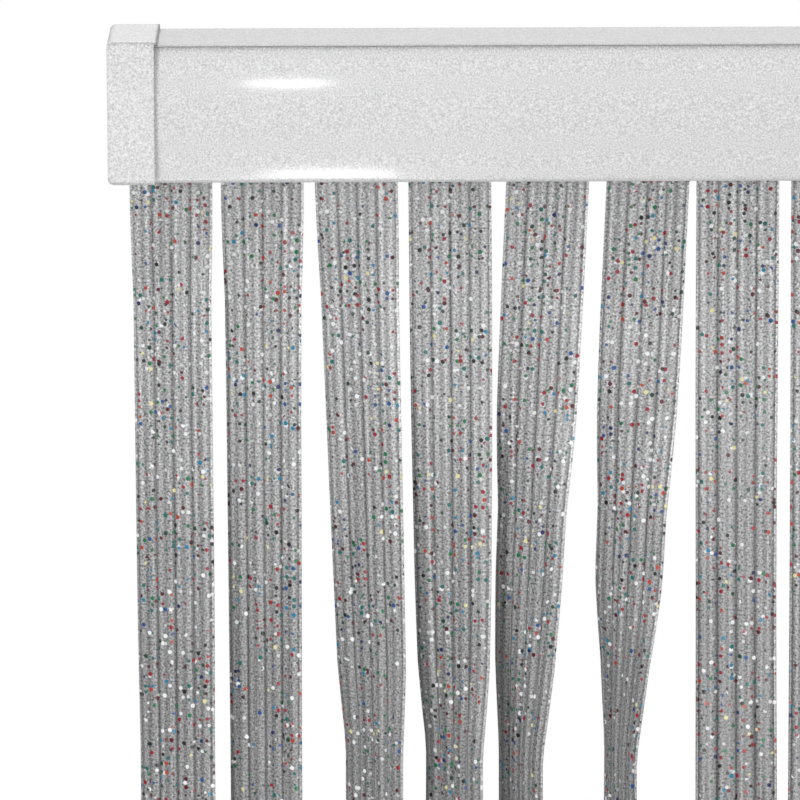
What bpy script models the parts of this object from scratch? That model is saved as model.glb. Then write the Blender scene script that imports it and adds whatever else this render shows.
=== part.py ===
"""Strip door curtain: ribbed PVC strips with welded loops that hang on one rod inside a wall rail.

Metres, +Z up, +X along the rail, -Y towards the room. The origin is the middle of the rail's back
face, which lies against the wall. The rail is a channel with a snap-on fascia and two end caps, and
moulded brackets in the gaps between the strips hold the rod. Each strip swings about the rod.
"""

import math

import bmesh
import bpy

# Strips
STRIP_COUNT = 37
STRIP_WIDTH = 0.021
STRIP_GAP = 0.003
STRIP_THICKNESS = 0.0012
CURTAIN_DROP = 2.0
END_MARGIN = 0.0046

# Loop that is welded at the head of each strip
LOOP_WALL = 0.0011
LOOP_SIDES = 8

# Rod
ROD_RADIUS = 0.002
ROD_SIDES = 12
ROD_ABOVE_RAIL_FOOT = 0.006
ROD_END_PLAY = 0.0005

# Gaps between neighbouring pieces, and the overrun of a cutter past what it cuts
FIT_GAP = 0.0003
CUT_OVERRUN = 0.002

# Rail channel
RAIL_HEIGHT = 0.0354
RAIL_DEPTH = 0.026
RAIL_WALL = 0.0014
NOSE_HEIGHT = 0.0004
NOSE_SETBACK = 0.0002
SEAM_GAP = 0.0003
LIP_SETBACK = 0.0036
LIP_WALL = 0.0012
LIP_DROP = 0.0043
SLOT_CAVITY = 0.0018
SLOT_HALF_HEIGHT = 0.0025
SLOT_MOUTH_HALF = 0.0015
SLOT_RIB_WALL = 0.001
SLOT_ABOVE_PORT = 0.0008

# Open screw ports on the back plate, which take the cap screws
PORT_WALL = 0.001
PORT_BITE = 0.0006
PORT_MOUTH_DEGREES = 40.0
PORT_STEPS = 3
BORE_STEPS = 10
PORT_BELOW_TOP_WALL = 0.0005
PORT_ABOVE_FOOT = 0.0035

# Holes for the wall screws
WALL_HOLE_RADIUS = 0.0021
WALL_HOLE_SIDES = 16
WALL_HOLE_SPACING = 0.27
WALL_HOLE_COUNT = 4

# Fascia
FASCIA_WALL = 0.0011
FASCIA_BOW = 0.0008
FASCIA_FOOT_RADIUS = 0.0014
FASCIA_RETURN = 0.003
HOOK_LEG_WALL = 0.001
HOOK_RISE = 0.0018
BOW_STEPS = 6
ROUND_STEPS = 3

# End caps
CAP_WALL = 0.00095
CAP_END_WALL = 0.002
CAP_CORNER_RADIUS = 0.0014
CAP_EDGE_RADIUS = 0.0003
CAP_FRONT_REACH = 0.0119
CAP_TOP_REACH = 0.0127
SOCKET_WALL = 0.0013
SOCKET_REACH = 0.0016
SOCKET_ROOT = 0.0008

# Brackets that hold the rod
BRACKET_COUNT = 6
BRACKET_SIDE_GAP = 0.0005
ARM_HALF_HEIGHT = 0.0026
SEAT_WALL = 0.0015
SEAT_BELOW_ROD = 0.0036
SEAT_MOUTH_SHARE = 0.75
SEAT_STEPS = 8

# Cap screws
SCREW_RADIUS = 0.0014
SCREW_HEAD_RADIUS = 0.0024
SCREW_HEAD_HEIGHT = 0.0014
SCREW_LENGTH = 0.012
SCREW_POINT = 0.002
SCREW_SIDES = 12

# How far the strips at the left end have slid along the rod, as shares of the gap between strips
SLIDE_SHARES = (0.1, -0.18, -0.25, -0.34, -0.06, 0.42)

# Where each strip has a ring, as shares of its hanging length
RING_SHARES = (
    0.004, 0.02, 0.05, 0.09, 0.13, 0.175, 0.22, 0.265, 0.31, 0.36, 0.41,
    0.46, 0.51, 0.56, 0.61, 0.66, 0.71, 0.76, 0.81, 0.86, 0.91, 0.955, 1.0,
)
# Closer rings near the head, for the strips at the left end
CLOSE_RING_SHARES = (0.004, 0.012, 0.022, 0.034, 0.046, 0.058, 0.068, 0.078, 0.095, 0.12, 0.15)

# The strips at the left end turn and lean near their heads: turns in degrees at shares of a drop,
# and the lean reached there as a share of the strip's width
HEAD_DROP = 0.149
HEAD_START = 0.0075
HEAD_TURN_SHARES = (0.0, 0.2, 0.4, 0.57, 0.7, 0.85, 1.0)
HEAD_TURNS = (
    (0.0, 18.0, 18.0, 18.0, 18.0, 20.0, 23.0),
    (0.0, 21.0, 24.0, 25.0, 26.0, 27.0, 28.0),
    (0.0, 19.0, 24.0, 27.0, 30.0, 33.0, 46.0),
    (0.0, 3.0, 10.0, 17.0, 21.0, 29.0, 47.0),
    (0.0, 7.0, 14.0, 35.0, 37.0, 45.0, 59.0),
    (0.0, 2.0, 16.0, 35.0, 37.0, 56.0, 69.0),
)
HEAD_LEAN_SHARES = (0.02, 0.0, 0.19, 0.04, -0.33, -0.32)
HEAD_FADE_SHARE = 0.16

# The free hang of every strip: two waves of turn in degrees, and waves of lean and depth as shares
TURN_EASE_SHARE = 0.1
SLOW_TURNS = (22.0, 40.0)
SLOW_WAVE_SHARES = (0.42, 0.66)
FAST_TURNS = (6.0, 13.0)
FAST_WAVE_SHARES = (0.2, 0.27)
LEAN_WAVE_SHARE = 0.3
DEPTH_WAVE_SHARE = 0.08

# Steps of the phases from one strip to the next, as shares of a whole wave
FIRST_STEP_SHARE = 0.618034
SECOND_STEP_SHARE = 0.414214
THIRD_STEP_SHARE = 0.302776

# Colours, as linear red, green and blue
WHITE_LACQUER = (0.70, 0.70, 0.70)
WHITE_PLASTIC = (0.74, 0.74, 0.73)
SMOKE_PVC = (0.31, 0.31, 0.31)
ZINC_STEEL = (0.55, 0.56, 0.57)
NATURAL_NYLON = (0.78, 0.76, 0.70)

# Places worked out from the sizes above
STRIP_PITCH = STRIP_WIDTH + STRIP_GAP
RAIL_TOP = RAIL_HEIGHT / 2
RAIL_FOOT = -RAIL_HEIGHT / 2
CAP_PROUD = FIT_GAP + CAP_WALL
OVERALL_WIDTH = STRIP_COUNT * STRIP_PITCH - STRIP_GAP + 2 * END_MARGIN
PROFILE_HALF = OVERALL_WIDTH / 2 - CAP_END_WALL - FIT_GAP
CHANNEL_FRONT = -(RAIL_DEPTH - FASCIA_RETURN)
ROD_Y = (CHANNEL_FRONT - RAIL_WALL) / 2
ROD_Z = RAIL_FOOT + ROD_ABOVE_RAIL_FOOT
PORT_BORE = SCREW_RADIUS + FIT_GAP
PORT_RADIUS = PORT_BORE + PORT_WALL
PORT_Y = -(RAIL_WALL + PORT_RADIUS - PORT_BITE)
UPPER_PORT = (PORT_Y, RAIL_TOP - RAIL_WALL - PORT_BELOW_TOP_WALL - PORT_RADIUS)
LOWER_PORT = (PORT_Y, RAIL_FOOT + PORT_ABOVE_FOOT + PORT_RADIUS)
SLOT_FOOT = LOWER_PORT[1] + PORT_RADIUS + SLOT_ABOVE_PORT + SLOT_RIB_WALL
SLOT_Z = SLOT_FOOT + SLOT_HALF_HEIGHT
SLOT_TOP = SLOT_Z + SLOT_HALF_HEIGHT
WALL_HOLE_Z = (SLOT_TOP + SLOT_RIB_WALL + UPPER_PORT[1] - PORT_RADIUS) / 2
HANG_LENGTH = ROD_Z - (RAIL_TOP - CURTAIN_DROP)


def clear_scene():
    """Removes the objects of the startup scene."""
    for old in list(bpy.data.objects):
        bpy.data.objects.remove(old)


def material(name, colour, roughness, metallic=0.0):
    """A plain Principled material."""
    made = bpy.data.materials.new(name)
    made.use_nodes = True
    shader = made.node_tree.nodes["Principled BSDF"]
    shader.inputs["Base Color"].default_value = (*colour, 1.0)
    shader.inputs["Roughness"].default_value = roughness
    shader.inputs["Metallic"].default_value = metallic
    return made


def object_from(name, points, faces, finish=None, parent=None, location=(0, 0, 0)):
    """A mesh object whose faces are made to point outwards."""
    mesh = bpy.data.meshes.new(name)
    mesh.from_pydata(points, [], faces)
    shape = bmesh.new()
    shape.from_mesh(mesh)
    bmesh.ops.recalc_face_normals(shape, faces=shape.faces)
    shape.to_mesh(mesh)
    shape.free()
    if finish:
        mesh.materials.append(finish)
    made = bpy.data.objects.new(name, mesh)
    bpy.context.scene.collection.objects.link(made)
    made.location = location
    made.parent = parent
    return made


def prism(name, outline, start, end, finish=None, parent=None, along="X"):
    """An outline of (y, z) points carried along X, or of (x, z) points carried along Y."""
    count = len(outline)
    if along == "X":
        points = [(place, first, z) for place in (start, end) for first, z in outline]
    else:
        points = [(first, place, z) for place in (start, end) for first, z in outline]
    faces = [tuple(range(count)), tuple(range(count, 2 * count))]
    for k in range(count):
        after = (k + 1) % count
        faces.append((k, after, after + count, k + count))
    return object_from(name, points, faces, finish, parent)


def turned(name, profile, centre, sides, finish=None, parent=None):
    """A profile of (x, radius) points, closed at both ends on the axis, turned about an X line."""
    y0, z0 = centre
    points = []
    rings = []
    for x, radius in profile:
        if radius == 0:
            rings.append([len(points)])
            points.append((x, y0, z0))
            continue
        rings.append(list(range(len(points), len(points) + sides)))
        for y, z in circle(centre, radius, sides):
            points.append((x, y, z))
    faces = []
    for first, second in zip(rings, rings[1:]):
        for k in range(sides):
            corners = [first[k % len(first)], first[(k + 1) % len(first)]]
            corners += [second[(k + 1) % len(second)], second[k % len(second)]]
            faces.append(tuple(dict.fromkeys(corners)))
    made = object_from(name, points, faces, finish, parent)
    made.data.shade_smooth()
    made.data.set_sharp_from_angle(angle=math.radians(40))
    return made


def box_outline(low, high, foot, top):
    """A rectangle as outline points."""
    return [(low, foot), (high, foot), (high, top), (low, top)]


def arc(centre, radius, start, end, steps):
    """Points of an arc, with angles in degrees from the first axis of the outline towards +Z."""
    made = []
    for k in range(steps + 1):
        angle = math.radians(start + (end - start) * k / steps)
        made.append((centre[0] + radius * math.cos(angle), centre[1] + radius * math.sin(angle)))
    return made


def circle(centre, radius, sides, start=0):
    """Points of a full circle, from a start angle in degrees."""
    return arc(centre, radius, start, start + 360, sides)[:-1]


def combine(target, helper, operation):
    """Adds or cuts a hidden helper shape."""
    step = target.modifiers.new(helper.name, "BOOLEAN")
    step.operation = operation
    step.solver = "EXACT"
    step.object = helper
    helper.hide_render = True
    helper.display_type = "WIRE"


def port_outline(centre):
    """An open screw port in section, from its upper root on the back plate to its lower root."""
    root = math.degrees(math.acos((PORT_RADIUS - PORT_BITE) / PORT_RADIUS))
    mouth = 180 - PORT_MOUTH_DEGREES
    bore = PORT_BORE / math.cos(math.radians(mouth / BORE_STEPS))
    outline = arc(centre, PORT_RADIUS, root, mouth, PORT_STEPS)
    outline += arc(centre, bore, mouth, -mouth, BORE_STEPS)
    outline += arc(centre, PORT_RADIUS, -mouth, -root, PORT_STEPS)
    return outline


def rail_outline():
    """The channel in section: back plate with ports, top plate with nose and lip, bracket slot."""
    lip_front = -(RAIL_DEPTH - LIP_SETBACK)
    rib_face = -(RAIL_WALL + SLOT_CAVITY + SLOT_RIB_WALL)
    rib_inside = -(RAIL_WALL + SLOT_CAVITY)
    return [
        (0, RAIL_FOOT),
        (0, RAIL_TOP),
        (-(RAIL_DEPTH - NOSE_SETBACK), RAIL_TOP),
        (-(RAIL_DEPTH - NOSE_SETBACK), RAIL_TOP - NOSE_HEIGHT),
        (lip_front, RAIL_TOP - NOSE_HEIGHT),
        (lip_front, RAIL_TOP - LIP_DROP),
        (lip_front + LIP_WALL, RAIL_TOP - LIP_DROP),
        (lip_front + LIP_WALL, RAIL_TOP - RAIL_WALL),
        (-RAIL_WALL, RAIL_TOP - RAIL_WALL),
        *port_outline(UPPER_PORT),
        (-RAIL_WALL, SLOT_TOP + SLOT_RIB_WALL),
        (rib_face, SLOT_TOP + SLOT_RIB_WALL),
        (rib_face, SLOT_Z + SLOT_MOUTH_HALF),
        (rib_inside, SLOT_Z + SLOT_MOUTH_HALF),
        (rib_inside, SLOT_TOP),
        (-RAIL_WALL, SLOT_TOP),
        (-RAIL_WALL, SLOT_FOOT),
        (rib_inside, SLOT_FOOT),
        (rib_inside, SLOT_Z - SLOT_MOUTH_HALF),
        (rib_face, SLOT_Z - SLOT_MOUTH_HALF),
        (rib_face, SLOT_FOOT - SLOT_RIB_WALL),
        (-RAIL_WALL, SLOT_FOOT - SLOT_RIB_WALL),
        *port_outline(LOWER_PORT),
        (-RAIL_WALL, RAIL_FOOT),
    ]


def make_rail(finish, parent):
    """The channel extrusion with the holes for the wall screws."""
    rail = prism("rail_channel", rail_outline(), -PROFILE_HALF, PROFILE_HALF, finish, parent)
    for k in range(WALL_HOLE_COUNT):
        place = (k - (WALL_HOLE_COUNT - 1) / 2) * WALL_HOLE_SPACING
        half_step = 180 / WALL_HOLE_SIDES
        outline = circle((place, WALL_HOLE_Z), WALL_HOLE_RADIUS, WALL_HOLE_SIDES, half_step)
        inside = -(RAIL_WALL + CUT_OVERRUN)
        drill = prism(f"guide_wall_hole_{k + 1}", outline, inside, CUT_OVERRUN, along="Y")
        combine(rail, drill, "DIFFERENCE")
    return rail


def fascia_front(z):
    """Where the bowed front of the fascia lies at a height."""
    return -(RAIL_DEPTH - FASCIA_BOW * (z / RAIL_TOP) ** 2)


def fascia_outline():
    """The snap-on front in section: bowed plate, round foot with a return, and the hook leg."""
    top = RAIL_TOP - NOSE_HEIGHT - SEAM_GAP
    knee = RAIL_FOOT + FASCIA_FOOT_RADIUS
    leg_top = RAIL_TOP - LIP_DROP - FIT_GAP
    leg_foot = leg_top - HOOK_LEG_WALL
    hook_front = -(RAIL_DEPTH - LIP_SETBACK - LIP_WALL - FIT_GAP)
    hook_back = hook_front + HOOK_LEG_WALL
    heights = [top + (knee - top) * k / BOW_STEPS for k in range(BOW_STEPS + 1)]
    outline = [(fascia_front(z), z) for z in heights]
    foot_centre = (fascia_front(knee) + FASCIA_FOOT_RADIUS, knee)
    outline += arc(foot_centre, FASCIA_FOOT_RADIUS, 180, 270, ROUND_STEPS)[1:]
    outline.append((CHANNEL_FRONT, RAIL_FOOT))
    outline.append((CHANNEL_FRONT, RAIL_FOOT + FASCIA_WALL))
    outline += arc(foot_centre, FASCIA_FOOT_RADIUS - FASCIA_WALL, 270, 180, 1)
    inside = [z for z in reversed(heights[1:-1]) if z < leg_foot]
    outline += [(fascia_front(z) + FASCIA_WALL, z) for z in inside]
    outline.append((fascia_front(leg_foot) + FASCIA_WALL, leg_foot))
    outline.append((hook_back, leg_foot))
    outline.append((hook_back, leg_top + HOOK_RISE))
    outline.append((hook_front, leg_top + HOOK_RISE))
    outline.append((hook_front, leg_top))
    outline.append((fascia_front(leg_top) + FASCIA_WALL, leg_top))
    outline.append((fascia_front(top) + FASCIA_WALL, top))
    return outline


def make_fascia(finish, parent):
    """The front cover, as long as the channel."""
    return prism("front_fascia", fascia_outline(), -PROFILE_HALF, PROFILE_HALF, finish, parent)


def screw_profile(grow):
    """Half section of a countersunk screw, inwards from its head, grown by a clearance."""
    neck = SCREW_RADIUS + grow
    return [
        (0, 0),
        (0, SCREW_HEAD_RADIUS + grow),
        (SCREW_HEAD_HEIGHT, neck),
        (SCREW_LENGTH - SCREW_POINT, neck),
        (SCREW_LENGTH, 0),
    ]


def cap_block(side, sign, finish, parent):
    """The cap's outer body: round corners at its outer end, and small bevelled front edges."""
    outer = sign * OVERALL_WIDTH / 2
    open_end = outer - sign * CAP_TOP_REACH
    top = RAIL_TOP + CAP_PROUD
    turn_x = outer - sign * CAP_CORNER_RADIUS
    turn_z = top - CAP_CORNER_RADIUS
    corner = arc((0, 0), CAP_CORNER_RADIUS, 90, 0, ROUND_STEPS)
    upper = [(turn_x + sign * across, turn_z + up) for across, up in corner]
    lower = [(x, top + RAIL_FOOT - z) for x, z in reversed(upper)]
    outline = [(open_end, top), *upper, *lower, (open_end, RAIL_FOOT)]
    front = -(RAIL_DEPTH + CAP_PROUD)
    block = prism(f"end_cap_{side}", outline, front, -FIT_GAP, finish, parent, along="Y")
    shape = bmesh.new()
    shape.from_mesh(block.data)
    rim = []
    for edge in shape.edges:
        at_front = all(abs(vert.co.y - front) < CAP_EDGE_RADIUS for vert in edge.verts)
        at_open_end = all(abs(vert.co.x - open_end) < CAP_EDGE_RADIUS for vert in edge.verts)
        if at_front and not at_open_end:
            rim.append(edge)
    bmesh.ops.bevel(shape, geom=rim, offset=CAP_EDGE_RADIUS, segments=1, affect="EDGES")
    shape.to_mesh(block.data)
    shape.free()
    return block


def make_cap(side, sign, finish, parent):
    """An end cap: it covers the rail's end, top and front, with a rod socket and two screw holes."""
    outer = sign * OVERALL_WIDTH / 2

    def at(reach):
        """X at a distance inwards from the cap's outer face."""
        return outer - sign * reach

    cap = cap_block(side, sign, finish, parent)
    past_end = at(CAP_TOP_REACH + CUT_OVERRUN)
    inner_front = -(RAIL_DEPTH + FIT_GAP)
    ceiling = RAIL_TOP + FIT_GAP
    below = RAIL_FOOT - CUT_OVERRUN
    past_front = -(RAIL_DEPTH + CAP_PROUD + CUT_OVERRUN)
    cuts = (
        ("hollow", box_outline(inner_front, CUT_OVERRUN, below, ceiling), CAP_END_WALL),
        ("front", box_outline(past_front, CUT_OVERRUN, below, ceiling), CAP_FRONT_REACH),
    )
    for label, outline, reach in cuts:
        cutter = prism(f"guide_{label}_{side}", outline, at(reach), past_end)
        combine(cap, cutter, "DIFFERENCE")
    bore = (ROD_RADIUS + FIT_GAP) / math.cos(math.pi / ROD_SIDES)
    boss = [
        (at(CAP_END_WALL - SOCKET_ROOT), 0),
        (at(CAP_END_WALL - SOCKET_ROOT), bore + SOCKET_WALL),
        (at(CAP_END_WALL + SOCKET_REACH), bore + SOCKET_WALL),
        (at(CAP_END_WALL + SOCKET_REACH), 0),
    ]
    combine(cap, turned(f"guide_boss_{side}", boss, (ROD_Y, ROD_Z), ROD_SIDES), "UNION")
    socket = [
        (at(CAP_END_WALL), 0),
        (at(CAP_END_WALL), bore),
        (at(CAP_END_WALL + SOCKET_REACH + CUT_OVERRUN), bore),
        (at(CAP_END_WALL + SOCKET_REACH + CUT_OVERRUN), 0),
    ]
    combine(cap, turned(f"guide_socket_{side}", socket, (ROD_Y, ROD_Z), ROD_SIDES), "DIFFERENCE")
    for label, centre in (("upper", UPPER_PORT), ("lower", LOWER_PORT)):
        drill = [(at(-CUT_OVERRUN), 0), (at(-CUT_OVERRUN), SCREW_HEAD_RADIUS + FIT_GAP)]
        drill += [(at(x), radius) for x, radius in screw_profile(FIT_GAP)[1:]]
        cutter = turned(f"guide_screw_{side}_{label}", drill, centre, SCREW_SIDES)
        combine(cap, cutter, "DIFFERENCE")
    return cap


def make_cap_screw(side, sign, label, centre, finish, parent):
    """A countersunk screw, flush with the cap's outer face."""
    outer = sign * OVERALL_WIDTH / 2
    profile = [(outer - sign * x, radius) for x, radius in screw_profile(0)]
    return turned(f"cap_screw_{side}_{label}", profile, centre, SCREW_SIDES, finish, parent)


def make_rod(finish, parent):
    """The hanger rod, from socket to socket."""
    half = OVERALL_WIDTH / 2 - CAP_END_WALL - ROD_END_PLAY
    profile = [(-half, 0), (-half, ROD_RADIUS), (half, ROD_RADIUS), (half, 0)]
    return turned("hanger_rod", profile, (ROD_Y, ROD_Z), ROD_SIDES, finish, parent)


def bracket_outline():
    """A bracket in section: foot in the rail's slot, arm to the fascia, and a snap seat below."""
    foot_back = -(RAIL_WALL + FIT_GAP)
    foot_front = -(RAIL_WALL + SLOT_CAVITY - FIT_GAP)
    foot_half = SLOT_HALF_HEIGHT - FIT_GAP
    neck_half = SLOT_MOUTH_HALF - FIT_GAP
    neck_front = -(RAIL_WALL + SLOT_CAVITY + SLOT_RIB_WALL + FIT_GAP)
    arm_top = SLOT_Z + ARM_HALF_HEIGHT
    arm_foot = SLOT_Z - ARM_HALF_HEIGHT
    arm_front = max(fascia_front(arm_top), fascia_front(arm_foot)) + FASCIA_WALL + FIT_GAP
    seat_foot = ROD_Z - SEAT_BELOW_ROD
    seat_radius = (ROD_RADIUS + FIT_GAP) / math.cos(math.pi / SEAT_STEPS)
    seat_half = seat_radius + SEAT_WALL
    mouth_half = ROD_RADIUS * SEAT_MOUTH_SHARE
    mouth = math.degrees(math.asin(mouth_half / seat_radius))
    seat = arc((ROD_Y, ROD_Z), seat_radius, 270 - mouth, -90 + mouth, SEAT_STEPS)
    return [
        (foot_back, SLOT_Z - foot_half),
        (foot_back, SLOT_Z + foot_half),
        (foot_front, SLOT_Z + foot_half),
        (foot_front, SLOT_Z + neck_half),
        (neck_front, SLOT_Z + neck_half),
        (neck_front, arm_top),
        (arm_front, arm_top),
        (arm_front, arm_foot),
        (ROD_Y - seat_half, arm_foot),
        (ROD_Y - seat_half, seat_foot),
        (ROD_Y - mouth_half, seat_foot),
        *seat,
        (ROD_Y + mouth_half, seat_foot),
        (ROD_Y + seat_half, seat_foot),
        (ROD_Y + seat_half, arm_foot),
        (neck_front, arm_foot),
        (neck_front, SLOT_Z - neck_half),
        (foot_front, SLOT_Z - neck_half),
        (foot_front, SLOT_Z - foot_half),
    ]


def make_bracket(number, finish, parent):
    """A rod bracket in the middle of a gap between two strips."""
    gap = round((number - 0.5) * STRIP_COUNT / BRACKET_COUNT)
    middle = (strip_x(gap) + strip_x(gap + 1)) / 2
    half = STRIP_GAP / 2 - BRACKET_SIDE_GAP
    name = f"rod_bracket_{number}"
    return prism(name, bracket_outline(), middle - half, middle + half, finish, parent)


def strip_x(number):
    """Middle of a strip along the rail, with its slide. Strip 1 hangs at the left end."""
    slide = SLIDE_SHARES[number - 1] if number <= len(SLIDE_SHARES) else 0
    return (number - (STRIP_COUNT + 1) / 2) * STRIP_PITCH + slide * STRIP_GAP


def ease(value):
    """Smooth step from 0 to 1."""
    value = min(1.0, max(0.0, value))
    return value * value * (3 - 2 * value)


def between(limits, share):
    """The value at a share of the way between two limits."""
    return limits[0] + (limits[1] - limits[0]) * share


def read_table(shares, values, at):
    """A value read from a short table, straight between its entries and level past its ends."""
    for k in range(1, len(shares)):
        if at <= shares[k]:
            part = (at - shares[k - 1]) / (shares[k] - shares[k - 1])
            return between((values[k - 1], values[k]), max(0.0, part))
    return values[-1]


def free_hang(number, share):
    """Turn in degrees, lean and depth of a strip that hangs free, at a share of its length."""
    first = number * FIRST_STEP_SHARE % 1
    second = number * SECOND_STEP_SHARE % 1
    third = number * THIRD_STEP_SHARE % 1

    def wave(length, phase):
        """A sine wave along the strip."""
        return math.sin(2 * math.pi * (share / length + phase))

    grown = ease(share / TURN_EASE_SHARE)
    turn = between(SLOW_TURNS, third) * wave(between(SLOW_WAVE_SHARES, second), first)
    turn += between(FAST_TURNS, second) * wave(between(FAST_WAVE_SHARES, first), third)
    lean = LEAN_WAVE_SHARE * STRIP_GAP * wave(between(SLOW_WAVE_SHARES, third), second)
    depth = DEPTH_WAVE_SHARE * STRIP_WIDTH * wave(between(SLOW_WAVE_SHARES, first), third)
    return grown * turn, grown * lean, grown * depth


def hang(number, share):
    """Turn, lean and depth of a strip, with those at the left end shaped near their heads."""
    turn, lean, depth = free_hang(number, share)
    if number > len(HEAD_TURNS):
        return turn, lean, depth
    down = (share * HANG_LENGTH - HEAD_START) / HEAD_DROP
    head_turn = read_table(HEAD_TURN_SHARES, HEAD_TURNS[number - 1], down)
    head_lean = HEAD_LEAN_SHARES[number - 1] * STRIP_WIDTH * min(1.0, max(0.0, down))
    fade = ease((share - (HEAD_START + HEAD_DROP) / HANG_LENGTH) / HEAD_FADE_SHARE)
    return between((head_turn, turn), fade), between((head_lean, lean), fade), depth * fade


def ring_shares(number):
    """The shares of the length at which a strip has a ring."""
    if number > len(HEAD_TURNS):
        return RING_SHARES
    return CLOSE_RING_SHARES + tuple(s for s in RING_SHARES if s > CLOSE_RING_SHARES[-1])


def turned_band(above, below):
    """Faces between two rings of four corners. Both broad sides are split along the same diagonal,
    so that a strip keeps its thickness where it turns."""
    faces = []
    for k in range(4):
        after = (k + 1) % 4
        corners = (above[k], above[after], below[after], below[k])
        if k >= 2:
            corners = corners[1:] + corners[:1]
        faces.append(corners[:3])
        faces.append((corners[0], *corners[2:]))
    return faces


def strip_mesh(number):
    """Points and faces of a strip about its rod: a loop round the rod, and a band of turned rings."""
    half_width = STRIP_WIDTH / 2
    half_thick = STRIP_THICKNESS / 2
    inner = (ROD_RADIUS + FIT_GAP) / math.cos(math.pi / LOOP_SIDES)
    outer = inner + LOOP_WALL
    neck = math.asin(half_thick / outer)
    sweep = 2 * math.pi - 2 * neck
    angles = [-math.pi / 2 + neck + sweep * k / LOOP_SIDES for k in range(LOOP_SIDES + 1)]
    count = len(angles)
    points = []
    for x in (-half_width, half_width):
        for radius in (outer, inner):
            points += [(x, radius * math.cos(a), radius * math.sin(a)) for a in angles]
    left_out, left_in, right_out, right_in = (k * count for k in range(4))
    faces = []
    for k in range(count):
        after = (k + 1) % count
        faces.append((left_out + k, left_out + after, left_in + after, left_in + k))
        faces.append((right_out + k, right_in + k, right_in + after, right_out + after))
        faces.append((left_in + k, left_in + after, right_in + after, right_in + k))
        if after:
            faces.append((left_out + k, right_out + k, right_out + after, left_out + after))
    above = (left_out, right_out, right_out + count - 1, left_out + count - 1)
    corners = (
        (-half_width, half_thick),
        (half_width, half_thick),
        (half_width, -half_thick),
        (-half_width, -half_thick),
    )
    for share in ring_shares(number):
        turn, lean, depth = hang(number, share)
        cosine = math.cos(math.radians(turn))
        sine = math.sin(math.radians(turn))
        ring = []
        for side, face in corners:
            ring.append(len(points))
            x = lean + side * cosine + face * sine
            y = depth - side * sine + face * cosine
            points.append((x, y, -share * HANG_LENGTH))
        faces += turned_band(above, ring)
        above = tuple(ring)
    faces.append(above)
    return points, faces


def make_strip(number, finish, parent):
    """One strip with its loop. Its origin is on the rod's axis, about which it swings."""
    points, faces = strip_mesh(number)
    place = (strip_x(number), ROD_Y, ROD_Z)
    strip = object_from(f"strip_{number:02d}", points, faces, finish, parent, place)
    strip.data.shade_smooth()
    strip.data.set_sharp_from_angle(angle=math.radians(50))
    return strip


def build():
    """Makes the whole curtain."""
    clear_scene()
    lacquer = material("white_lacquer", WHITE_LACQUER, 0.35)
    plastic = material("white_plastic", WHITE_PLASTIC, 0.45)
    smoke = material("smoke_pvc", SMOKE_PVC, 0.3)
    steel = material("zinc_steel", ZINC_STEEL, 0.35, 1.0)
    nylon = material("natural_nylon", NATURAL_NYLON, 0.5)
    origin = bpy.data.objects.new("wall_face", None)
    bpy.context.scene.collection.objects.link(origin)
    make_rail(lacquer, origin)
    make_fascia(lacquer, origin)
    make_rod(steel, origin)
    for side, sign in (("left", -1), ("right", 1)):
        make_cap(side, sign, plastic, origin)
        for label, centre in (("upper", UPPER_PORT), ("lower", LOWER_PORT)):
            make_cap_screw(side, sign, label, centre, steel, origin)
    for number in range(1, BRACKET_COUNT + 1):
        make_bracket(number, nylon, origin)
    for number in range(1, STRIP_COUNT + 1):
        make_strip(number, smoke, origin)


build()
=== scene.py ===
"""Looks of a strip door curtain: ribbed smoke-grey strips with glitter, under a slim white wall rail.

Metres, +Z up, +X along the rail, -Y towards the room. The origin is the middle of the rail's back.
"""

import math

import bpy
import numpy as np
from mathutils import Matrix, Vector


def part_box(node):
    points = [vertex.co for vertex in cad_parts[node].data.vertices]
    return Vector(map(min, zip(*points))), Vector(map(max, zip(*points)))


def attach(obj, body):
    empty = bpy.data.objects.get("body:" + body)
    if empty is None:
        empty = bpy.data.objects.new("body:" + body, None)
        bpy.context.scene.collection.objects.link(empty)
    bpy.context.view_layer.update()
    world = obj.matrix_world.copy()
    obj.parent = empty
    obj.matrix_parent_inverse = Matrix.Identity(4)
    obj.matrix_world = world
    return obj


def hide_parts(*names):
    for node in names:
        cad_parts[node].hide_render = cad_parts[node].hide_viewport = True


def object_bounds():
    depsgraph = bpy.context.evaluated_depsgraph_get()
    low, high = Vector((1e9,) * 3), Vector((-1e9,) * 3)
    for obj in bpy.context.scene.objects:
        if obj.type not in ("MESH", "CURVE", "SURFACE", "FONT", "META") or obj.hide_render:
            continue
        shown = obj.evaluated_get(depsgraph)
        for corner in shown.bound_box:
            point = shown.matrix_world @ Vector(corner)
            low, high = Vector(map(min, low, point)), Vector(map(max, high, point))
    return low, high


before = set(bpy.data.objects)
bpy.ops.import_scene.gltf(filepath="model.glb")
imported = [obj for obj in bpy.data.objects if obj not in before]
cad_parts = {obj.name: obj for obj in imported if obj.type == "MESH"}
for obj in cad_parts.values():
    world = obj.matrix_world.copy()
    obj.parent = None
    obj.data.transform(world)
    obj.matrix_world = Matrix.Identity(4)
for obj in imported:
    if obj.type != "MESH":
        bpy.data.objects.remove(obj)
cad_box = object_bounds()

# Sizes that the strips share with the model, in metres
STRIP_COUNT = 37
STRIP_WIDTH = 0.021
STRIP_GAP = 0.003
STRIP_PITCH = STRIP_WIDTH + STRIP_GAP
ROD_Y = -0.0122
ROD_Z = -0.0117
HANG_LENGTH = 1.9706
SLIDE_SHARES = (0.1, -0.18, -0.25, -0.34, -0.06, 0.42)

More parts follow.
